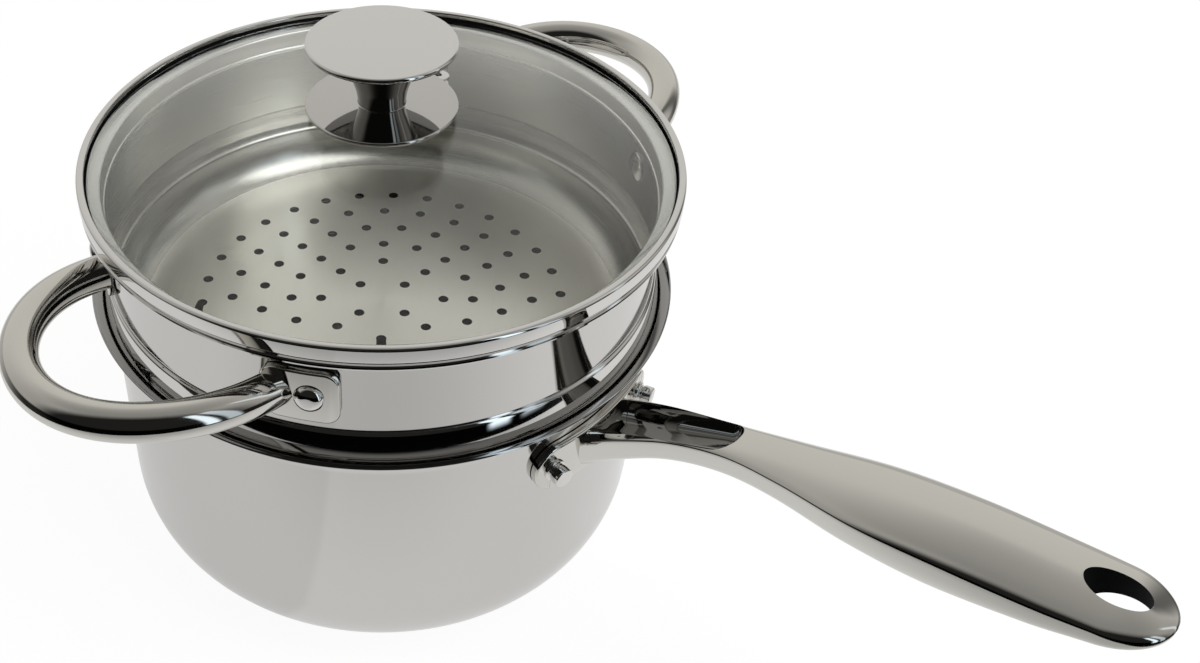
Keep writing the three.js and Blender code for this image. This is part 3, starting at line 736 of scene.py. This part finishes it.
# %% Steamer shell
LIP_SLOPE = math.tan(math.radians(24.5))
LIP_REACH = 4.5
SINK_ROUND = 13.8
CONE_TOP_RADIUS = 97.7
CONE_TOP = 123.39
WALL_FOOT = 124.39
BRIGHT_TOP = 124
FLOOR_EDGE = 90
steamer = join(perforated_floor(), spin_outline([
    (FLOOR_FLAT, FLOOR_UNDER), (SINK_RADIUS, FLOOR_UNDER, SINK_ROUND), (SINK_RADIUS, LEDGE, 0.9),
    (LEDGE_RADIUS, LEDGE, 0.7), (CONE_TOP_RADIUS, CONE_TOP, 0.5), (STEAMER_RADIUS, WALL_FOOT, 0.6),
    (STEAMER_RADIUS, STEAMER_NECK, 1.5), (STEAMER_RADIUS + LIP_REACH, STEAMER_NECK + LIP_REACH * LIP_SLOPE),
], steps=WALL_STEPS))
bmesh.ops.remove_doubles(steamer, verts=steamer.verts[:], dist=2e-6)
bmesh.ops.recalc_face_normals(steamer, faces=steamer.faces[:])
thicken(steamer, STEAMER_SHEET, 0)


def steamer_finish(at, normal, out):
    if out > 0.5 and (LEDGE - 0.5) * MM < at.z < BRIGHT_TOP * MM:
        return 2
    # Upward faces of the floor take the lighter satin copy, as painted light.
    if normal.z > 0.9 and at.xy.length < FLOOR_EDGE * MM:
        return 3
    inside = out < -0.2 or normal.z > 0.5 and at.z < STEAMER_NECK * MM
    return 1 if inside else 0


dress(steamer, steamer_finish)
BEAD_OUT = 101.3
BEAD_HEIGHT = 155.34
BEAD_RADIUS = 1.3
BEAD_SIDES = 14
bead_angles = [FULL_TURN * k / BEAD_SIDES for k in range(BEAD_SIDES)]
bead = spin_outline([
    (BEAD_OUT + BEAD_RADIUS * math.cos(angle), BEAD_HEIGHT + BEAD_RADIUS * math.sin(angle))
    for angle in bead_angles
], steps=WALL_STEPS, closed=True)
turn(join(steamer, bead), STEAMER_TURN)
finish_piece(steamer, "steamer_shell", "steamer", [wall_polish, satin_inside, bright_polish, satin_painted_light],
             ["steamer_body"], corner=25)

# %% [markdown]
# ## The loop handles
# Each loop is a length of round tube bent to a half oval that climbs a little as it leaves the wall. Its
# middle line is worked out first: a short straight run inside the wall, the oval, and the same run back.

# %% Loop path
LOOP_HALF_SPAN = 41.0
LOOP_FOOT = 87.6
LOOP_CENTRE = 95.6
LOOP_REACH = 47.1
LOOP_CLIMB = 6.6
LOOP_INSET = 6
STRAIGHT_STEPS = 6
STRAIGHT_STEP = 2.0
ARC_STEPS = 56


def loop_path():
    start = LOOP_FOOT - LOOP_INSET
    plan = [(start + STRAIGHT_STEP * i, -LOOP_HALF_SPAN) for i in range(STRAIGHT_STEPS + 1)]
    for i in range(ARC_STEPS + 1):
        angle = math.radians(-90 + 180 * i / ARC_STEPS)
        plan.append((LOOP_CENTRE + LOOP_REACH * math.cos(angle), LOOP_HALF_SPAN * math.sin(angle)))
    plan += [(u, -v) for u, v in plan[STRAIGHT_STEPS::-1]]
    span = LOOP_CENTRE + LOOP_REACH - LOOP_FOOT
    climb = [LOOP_CLIMB * math.sin(math.pi / 2 * (u - LOOP_FOOT) / span) for u, v in plan]
    return [Vector((u, v, TAB_HEIGHT + rise)) * MM for (u, v), rise in zip(plan, climb)]


print("loop stations:", len(loop_path()))

# %% [markdown]
# A ring of points is extruded from station to station along that path. A curve with a bevel would give the
# same tube, but here each end is also cut flat, so that it sits against its tab.

# %% Loop tube
TUBE_RADIUS = 6.0
TUBE_SEAT = 98.1
CUT_SLACK = 1e-4


def sweep(path, radius, sides=32):
    stations = []
    for before, here, after in zip(path[:1] + path[:-1], path, path[1:] + path[-1:]):
        along = (after - before).normalized()
        side = along.cross(Vector((0, 0, 1))).normalized()
        place = Matrix((side, along.cross(side), along)).transposed().to_4x4()
        place.translation = here
        stations.append(place)
    bm = bmesh.new()
    bmesh.ops.create_circle(bm, segments=sides, radius=radius * MM, matrix=stations[0])
    ring = bm.edges[:]
    for last, place in zip(stations, stations[1:]):
        grown = bmesh.ops.extrude_edge_only(bm, edges=ring)["geom"]
        fresh = {v for v in grown if isinstance(v, bmesh.types.BMVert)}
        ring = [e for e in grown if isinstance(e, bmesh.types.BMEdge) and fresh.issuperset(e.verts)]
        bmesh.ops.transform(bm, matrix=place @ last.inverted(), verts=list(fresh))
    return bm


def loop_tube():
    bm = sweep(loop_path(), TUBE_RADIUS)
    for side in (1, -1):
        lean = math.asin(side * LOOP_HALF_SPAN / TUBE_SEAT)
        outward = Vector((math.cos(lean), math.sin(lean), 0))
        bmesh.ops.bisect_plane(bm, geom=bm.verts[:] + bm.edges[:] + bm.faces[:], dist=1e-7,
                               plane_co=outward * TUBE_SEAT * MM, plane_no=-outward)
        behind = [v for v in bm.verts
                  if v.co.y * side > 0 and outward.dot(v.co) < (TUBE_SEAT - CUT_SLACK) * MM]
        bmesh.ops.delete(bm, geom=behind, context="VERTS")
    bmesh.ops.holes_fill(bm, edges=[e for e in bm.edges if e.is_boundary], sides=0)
    bmesh.ops.recalc_face_normals(bm, faces=bm.faces[:])
    return bm


LOOP_SIDES = ((90 + STEAMER_TURN, "left"), (-90 + STEAMER_TURN, "right"))
for middle, name in LOOP_SIDES:
    finish_piece(turn(loop_tube(), middle), "loop_tube_" + name, "steamer", [handle_polish],
                 ["loop_handle_" + name])

# %% [markdown]
# Each end of a loop is held by a stamped tab, and each tab by one domed rivet that shows as a smooth button
# outside and as a low round head inside the steamer.

# %% Loop tabs and rivets
def loop_rivet():
    button = spin_outline([
        (0, 101.9), (3.4, 101.8, 1.8), (5.0, 99.6, 0.9), (4.8, 99.0, 0.2), (0, 99.0),
    ], steps=48)
    head = spin_outline([
        (0, 94.2), (3.6, 94.3, 1.6), (5.4, 95.3, 0.5), (5.4, 95.8), (0, 95.8),
    ], steps=48)
    return join(button, head)


RIVET_ANGLE = 31.23
TAB_ANGLE = 29.5
for middle, name in LOOP_SIDES:
    for side, end in ((-1, "a"), (1, "b")):
        tab = bent_plate(width=25, height=20, corner=5, inner=97.0, outer=99.2, ease=0.7)
        finish_piece(turn(tab, middle + side * TAB_ANGLE, TAB_HEIGHT), f"tab_{name}_{end}", "steamer",
                     [handle_polish], [f"loop_tab_{name}_{end}"])
        rivet = lay_out(loop_rivet(), middle + side * RIVET_ANGLE, TAB_HEIGHT)
        finish_piece(rivet, f"rivet_{name}_{end}", "steamer", [bright_polish],
                     [f"loop_rivet_{name}_{end}"])

# %% [markdown]
# ## The lid
# A steel band is rolled round the glass: a rounded rim that stands above the glass, a flange under it and a
# skirt with a hemmed edge that drops inside the steamer. The outline closes on itself, so it needs no
# thickening. The rim's inner wall above the glass is painted near black, as painted shade in the corner
# between rim and glass, and the skirt's inner face takes the lighter satin copy, as painted light.

# %% Lid rim band
PAINTED_SHADE_TOP = 161.7
SKIRT_INNER = 94.7
HEM_INNER = 94.1
SKIRT_BOTTOM = 149.21
band = spin_outline([
    (LID_RADIUS, BAND_BOTTOM, 0.5), (LID_RADIUS, BAND_TOP, 1.1), (RIM_INNER, BAND_TOP, 0.6),
    (RIM_INNER, PAINTED_SHADE_TOP), (RIM_INNER, 157.6, 0.3), (SKIRT_INNER, 156.4, 0.8), (SKIRT_INNER, 150.6, 0.3),
    (HEM_INNER, 150.3, 0.3), (HEM_INNER, SKIRT_BOTTOM, 0.4), (SKIRT_RADIUS, SKIRT_BOTTOM, 0.3),
    (SKIRT_RADIUS, 155.9, 0.3),
], steps=WALL_STEPS, closed=True)


def band_finish(at, normal, out):
    if out > -0.7 or at.z > PAINTED_SHADE_TOP * MM:
        return 0
    # Inward faces below the rim: near black on the rim's wall as painted shade, the lighter satin on the
    # skirt as painted light.
    return 1 if at.xy.length > (RIM_INNER - 0.3) * MM else 2


dress(band, band_finish)
finish_piece(band, "rim_band", "lid", [bright_polish, painted_shade_black, satin_painted_light], ["lid_rim_band"])

# %% [markdown]
# The glass is a shallow dome with a hole in its middle for the knob's screw, a little thinner at its ground
# edge. Its top and its underside are arcs spun from one point each, so the dome is truly round.

# %% Lid glass
GLASS_BORE = 2.7
GLASS_EASE = 0.6


def dome_arc(bm, top, edge):
    rise = top - edge
    radius = (GLASS_EDGE**2 + rise**2) / (2 * rise)
    centre = top - radius
    start = bm.verts.new((GLASS_BORE * MM, 0, (centre + math.sqrt(radius**2 - GLASS_BORE**2)) * MM))
    sweep_angle = math.asin(GLASS_EDGE / radius) - math.asin(GLASS_BORE / radius)
    bmesh.ops.spin(bm, geom=[start], cent=(0, 0, centre * MM), axis=(0, 1, 0), angle=sweep_angle, steps=28)
    return radius, centre


glass = bmesh.new()
DOME_RADIUS, DOME_CENTRE = dome_arc(glass, GLASS_TOP, GLASS_EDGE_TOP)
dome_arc(glass, GLASS_TOP - GLASS_THICK, GLASS_EDGE_TOP - GLASS_EDGE_THICK)
ends = sorted(glass.verts, key=lambda v: v.co.x)
for pair in (ends[:2], ends[-2:]):
    glass.edges.new(pair)
rim = [v for v in glass.verts if v.co.x > (GLASS_EDGE - 0.1) * MM]
round_off(glass, rim, GLASS_EASE, 5)
spin_round(glass, WALL_STEPS)
# The glass's ground edge faces take the near-black finish: painted shade for the dark ring at the lid's rim.
dress(glass, lambda at, normal, out: int(at.xy.length > (GLASS_EDGE - 1) * MM and out > 0.6))
finish_piece(glass, "glass_dome", "lid", [clear_glass, painted_shade_black], ["lid_glass"])

# %% [markdown]
# The vent is a small steel eyelet pressed through the dome, so it is spun upright and then tipped to stand
# square on the glass where it sits.

# %% Vent eyelet
VENT_OUT = 31.0
VENT_ANGLE = 94.0
vent = spin_outline([
    (1.6, -3.0, 0.2), (4.2, -3.0, 0.3), (4.2, -2.2), (3.0, -2.1), (3.0, 2.1), (4.4, 2.1),
    (4.4, 2.7, 0.3), (1.6, 3.0, 0.6),
], steps=40, closed=True, segments=4)
move(vent, 0, 0, DOME_RADIUS - GLASS_THICK / 2)
tilt(vent, math.degrees(math.asin(VENT_OUT / DOME_RADIUS)), "Y")
turn(vent, VENT_ANGLE, DOME_CENTRE)
finish_piece(vent, "vent_eyelet", "lid", [bright_polish], ["vent_grommet"])

# %% [markdown]
# The knob is turned from solid bar: a broad flat foot, a stem that opens upwards like an hourglass, and a
# flat cap. Stem and cap are two spun outlines. The stem and the cap's underside take a dark copy of the
# polish, which is painted shade.

# %% Knob
KNOB_NECK = KNOB_BOTTOM + 19.3
FOOT_RADIUS = 25.5
FOOT_TOP = KNOB_BOTTOM + 2.1
NECK_RADIUS = 13
TOP_RADIUS = 24.8
TOP_HEIGHT = KNOB_NECK + 4.7
knob = spin_outline([
    (0, KNOB_BOTTOM), (FOOT_RADIUS, KNOB_BOTTOM, 0.5), (FOOT_RADIUS, KNOB_BOTTOM + 1.4, 0.6),
    (8.0, KNOB_BOTTOM + 2.0, 0.5), (8.2, KNOB_BOTTOM + 5.5, 3.0), (NECK_RADIUS, KNOB_NECK), (0, KNOB_NECK),
], steps=128, segments=6)
dress(knob, lambda at, normal, out: int(at.z > FOOT_TOP * MM))
finish_piece(knob, "knob_stem", "lid", [knob_polish, painted_shade_polish], ["knob_body"])
top = spin_outline([
    (0, KNOB_NECK + 0.3), (NECK_RADIUS, KNOB_NECK + 0.3, 2), (TOP_RADIUS, KNOB_NECK + 2.9, 0.7),
    (TOP_RADIUS, TOP_HEIGHT, 0.9), (0, TOP_HEIGHT),
], steps=128, segments=6)
dress(top, lambda at, normal, out: int(normal.z < -0.3))
finish_piece(top, "knob_top", "lid", [bright_polish, painted_shade_polish], ["knob_cap"])

# %% [markdown]
# A soft washer keeps the knob off the glass, and a screw with a steel washer pulls it down from below. They
# show only through the glass, so each is one small outline with its edges eased.

# %% Washers and screw
def ring(inner, outer, bottom, top, ease):
    return spin_outline([
        (inner, bottom), (outer, bottom, ease), (outer, top, ease), (inner, top),
    ], steps=96, closed=True, segments=4)


soft = ring(inner=GLASS_BORE, outer=11, bottom=178.98, top=179.98, ease=0.3)
finish_piece(soft, "soft_washer", "lid", [grey_silicone], ["knob_seal"])
washer = ring(inner=GLASS_BORE, outer=8, bottom=173.58, top=174.78, ease=0.3)
finish_piece(washer, "steel_washer", "lid", [satin_plain], ["knob_washer"])
HEAD_TOP = 173.28
SHANK_RADIUS = 2.4
SHANK_TOP = 189.28
screw = spin_outline([
    (0, 170.7), (3.0, 170.8, 1.5), (4.6, 172.8, 0.4), (4.6, HEAD_TOP), (SHANK_RADIUS, HEAD_TOP),
    (SHANK_RADIUS, SHANK_TOP), (0, SHANK_TOP),
], steps=48)
finish_piece(screw, "knob_bolt", "lid", [satin_plain], ["knob_screw"])

# %% [markdown]
# ## The studio
# The pot stands on a pale sheet that runs out to white. Steel shows what is around it more than its own
# colour, so the studio matters: a pale wall behind, a dimmer ceiling, and a dark room in front, where the
# camera stands. That dark side is what draws the black lines along the rims and the handle. The sheet ends
# in a half round in front, so that the polished wall also shows the dark beyond it.

# %% Floor sheet
CAMERA_SIDE = Vector((0.656, -0.755, 0.0))
SHEET_FRONT = 0.385
SHEET_BACK = 1.6
SHEET_SIDE = 0.385
floor = bmesh.new()
bmesh.ops.create_grid(floor, x_segments=1, y_segments=1, size=1)
bmesh.ops.scale(floor, vec=((SHEET_FRONT + SHEET_BACK) / 2, SHEET_SIDE, 1), verts=floor.verts[:])
bmesh.ops.translate(floor, vec=((SHEET_FRONT - SHEET_BACK) / 2, 0, 0), verts=floor.verts[:])
front = [v for v in floor.verts if v.co.x > 0]
bmesh.ops.bevel(floor, geom=front, offset=0.99 * SHEET_SIDE, offset_type="OFFSET", segments=24, profile=0.5,
                affect="VERTICES", material=-1)
tilt(floor, math.degrees(math.atan2(CAMERA_SIDE.y, CAMERA_SIDE.x)), "Z")
floor_mesh = bpy.data.meshes.new("floor")
floor.to_mesh(floor_mesh)
floor.free()
floor_object = bpy.data.objects.new("floor", floor_mesh)
bpy.context.scene.collection.objects.link(floor_object)
print("floor sheet:", SHEET_FRONT + SHEET_BACK, "m long,", 2 * SHEET_SIDE, "m wide")

# %% [markdown]
# Studio paper is lit until it burns out to white. Light Path tells who looks: the camera, straight on or
# through the glass, sees it nearly white with a soft shadow, and a reflection sees it fade towards the dark
# front. The fade, and a faint darker step on one side of a straight line, are ramps over the position on the
# sheet.

# %% Paper
STEP_SIDE = (0.838, 0.545, 0.0)
WHITE_GLOW = 1.12
WHITE_SHARE = 0.82
MIRROR_SHARE = 0.7


def ramp(tree, value, low, high, start, end):
    node = tree.nodes.new("ShaderNodeMapRange")
    node.interpolation_type = "SMOOTHSTEP"
    for label, amount in (("From Min", low), ("From Max", high), ("To Min", start), ("To Max", end)):
        node.inputs[label].default_value = amount
    tree.links.new(value, node.inputs["Value"])
    return node.outputs["Result"]


def along_direction(tree, vector, direction):
    node = tree.nodes.new("ShaderNodeVectorMath")
    node.operation = "DOT_PRODUCT"
    node.inputs[1].default_value = direction
    tree.links.new(vector, node.inputs[0])
    return node.outputs["Value"]


paper = bpy.data.materials.new("paper")
paper.use_nodes = True
floor_mesh.materials.append(paper)
tree = paper.node_tree
tree.nodes.remove(tree.nodes["Principled BSDF"])
matt = tree.nodes.new("ShaderNodeBsdfDiffuse")
matt.inputs["Color"].default_value = (0.9, 0.9, 0.9, 1)
shine = tree.nodes.new("ShaderNodeEmission")
rays = tree.nodes.new("ShaderNodeLightPath")
spot = tree.nodes.new("ShaderNodeNewGeometry").outputs["Position"]
fade = ramp(tree, along_direction(tree, spot, CAMERA_SIDE), 0.12, 0.32, 0.95, 0.45)
side_step = ramp(tree, along_direction(tree, spot, STEP_SIDE), -0.029, -0.021, 0.9, 1)
fade = math_node(tree, "MULTIPLY", fade, side_step)
seen = math_node(tree, "MAXIMUM", rays.outputs["Is Camera Ray"], rays.outputs["Is Transmission Ray"])
glow = math_node(tree, "MAXIMUM", math_node(tree, "MULTIPLY", seen, WHITE_GLOW), fade)
tree.links.new(glow, shine.inputs["Strength"])
shown = math_node(tree, "MAXIMUM", math_node(tree, "MULTIPLY", seen, WHITE_SHARE),
                  math_node(tree, "MULTIPLY", rays.outputs["Is Glossy Ray"], MIRROR_SHARE))
mix = tree.nodes.new("ShaderNodeMixShader")
tree.links.new(shown, mix.inputs[0])
tree.links.new(matt.outputs[0], mix.inputs[1])
tree.links.new(shine.outputs[0], mix.inputs[2])
tree.links.new(mix.outputs[0], tree.nodes["Material Output"].inputs["Surface"])
print("paper nodes:", len(tree.nodes))

# %% [markdown]
# The world is the room that the steel reflects. It is mixed from ramps over the direction of a ray: pale
# towards the back, nearly black in front, dim below the horizon and a little darker overhead. A sky picture
# would do the same, but ramps have soft edges at any size and can be changed by one number.

# %% Room
world = bpy.data.worlds.new("studio")
bpy.context.scene.world = world
world.use_nodes = True
tree = world.node_tree
look = tree.nodes.new("ShaderNodeTexCoord").outputs["Generated"]
apart = tree.nodes.new("ShaderNodeSeparateXYZ")
tree.links.new(look, apart.inputs[0])
height = apart.outputs["Z"]
forward = along_direction(tree, look, CAMERA_SIDE)
room = math_node(tree, "MULTIPLY", ramp(tree, forward, -0.9, 0.2, 0.70, 0.42),
                 ramp(tree, forward, 0.15, 0.55, 1, 0.04))
ground = ramp(tree, forward, -0.6, 0.1, 0.75, 0.06)
above = ramp(tree, height, -0.08, 0.06, 0, 1)
room = math_node(tree, "MULTIPLY", room, math_node(tree, "MAXIMUM", ground, above))
room = math_node(tree, "MULTIPLY", room, ramp(tree, height, 0.70, 0.95, 1.03, 0.75))
print("room nodes:", len(tree.nodes))

# %% [markdown]
# Three tall windows on the handle's side put narrow, bluish streaks on the polished wall, and a dark doorway
# with soft edges gives the steel something dim to show. Each is a band between two angles about the upright
# axis, cut off above and below. The camera sees none of this, only white.

# %% Windows and doorway
WORLD_WHITE = 1.07
turned = math_node(tree, "ARCTAN2", apart.outputs["Y"], apart.outputs["X"])
tall = math_node(tree, "MULTIPLY", ramp(tree, height, -0.35, -0.3, 0, 1), ramp(tree, height, 0.7, 0.8, 1, 0))


def pane(left, right, glow, edge=1.5):
    left, right, edge = math.radians(left), math.radians(right), math.radians(edge)
    width = math_node(tree, "MULTIPLY", ramp(tree, turned, left - edge, left + edge, 0, 1),
                      ramp(tree, turned, right - edge, right + edge, 1, 0))
    return math_node(tree, "MULTIPLY", math_node(tree, "MULTIPLY", width, tall), glow)


windows = math_node(tree, "ADD", pane(-9, -1, 1.6), pane(4, 13, 0.8))
windows = math_node(tree, "ADD", windows, pane(35, 40, 0.6))
doorway = pane(66, 84, 0.75, edge=8)
room = math_node(tree, "MULTIPLY", room, math_node(tree, "SUBTRACT", 1.0, doorway))
rays = tree.nodes.new("ShaderNodeLightPath")
white = math_node(tree, "MULTIPLY", rays.outputs["Is Camera Ray"], WORLD_WHITE)
sky = tree.nodes["Background"]
sky.inputs["Color"].default_value = (1.0, 0.985, 0.945, 1)
tree.links.new(math_node(tree, "MAXIMUM", room, white), sky.inputs["Strength"])
daylight = tree.nodes.new("ShaderNodeBackground")
daylight.inputs["Color"].default_value = (0.78, 0.9, 1.0, 1)
tree.links.new(windows, daylight.inputs["Strength"])
both = tree.nodes.new("ShaderNodeAddShader")
tree.links.new(sky.outputs[0], both.inputs[0])
tree.links.new(daylight.outputs[0], both.inputs[1])
tree.links.new(both.outputs[0], tree.nodes["World Output"].inputs["Surface"])
print("world nodes:", len(tree.nodes))

# %% [markdown]
# One soft lamp above lights the paper, so that the pot's shadow falls on it. It is hidden from the camera and
# from reflections, because a bright rectangle on the steel would give the studio away.

# %% Lamp
LAMP_PLACE = Vector((0.75, 0.10, 1.35))
LAMP_AIM = Vector((0, 0, 0.1))
key = bpy.data.lights.new("key", "AREA")
key.shape = "RECTANGLE"
key.size = 0.8
key.size_y = 1.0
key.energy = 6
lamp = bpy.data.objects.new("key", key)
bpy.context.scene.collection.objects.link(lamp)
lamp.location = LAMP_PLACE
lamp.rotation_euler = (LAMP_AIM - LAMP_PLACE).to_track_quat("-Z", "Y").to_euler()
lamp.visible_camera = False
lamp.visible_glossy = False
print("lamp:", key.energy, "W")

# %% [markdown]
# The camera looks down on the lid from the front, close enough that the rims open into wide ovals. Its place
# and its three axes are written out, which fixes the view completely, and a sideways shift of the lens sets
# the pot left or right in the frame without turning the camera. The Standard view keeps white paper white.

# %% Camera
eye = Vector((255.24, -283.47, 413.0)) * MM
right = Vector((0.75046, 0.66087, 0.00760))
up = Vector((-0.43840, 0.48917, 0.75400))
toward = Vector((-0.49458, 0.56918, -0.65683))
lens = bpy.data.cameras.new("camera")
lens.sensor_width = 36
lens.lens = 39.763
lens.shift_x = 0.1667
lens.clip_start = 0.01
camera = bpy.data.objects.new("camera", lens)
bpy.context.scene.collection.objects.link(camera)
camera.matrix_world = Matrix((right, up, -toward)).transposed().to_4x4()
camera.matrix_world.translation = eye
bpy.context.scene.camera = camera
bpy.context.scene.view_settings.view_transform = "Standard"
print("camera:", [round(c, 3) for c in eye], "lens:", round(lens.lens, 1), "mm")
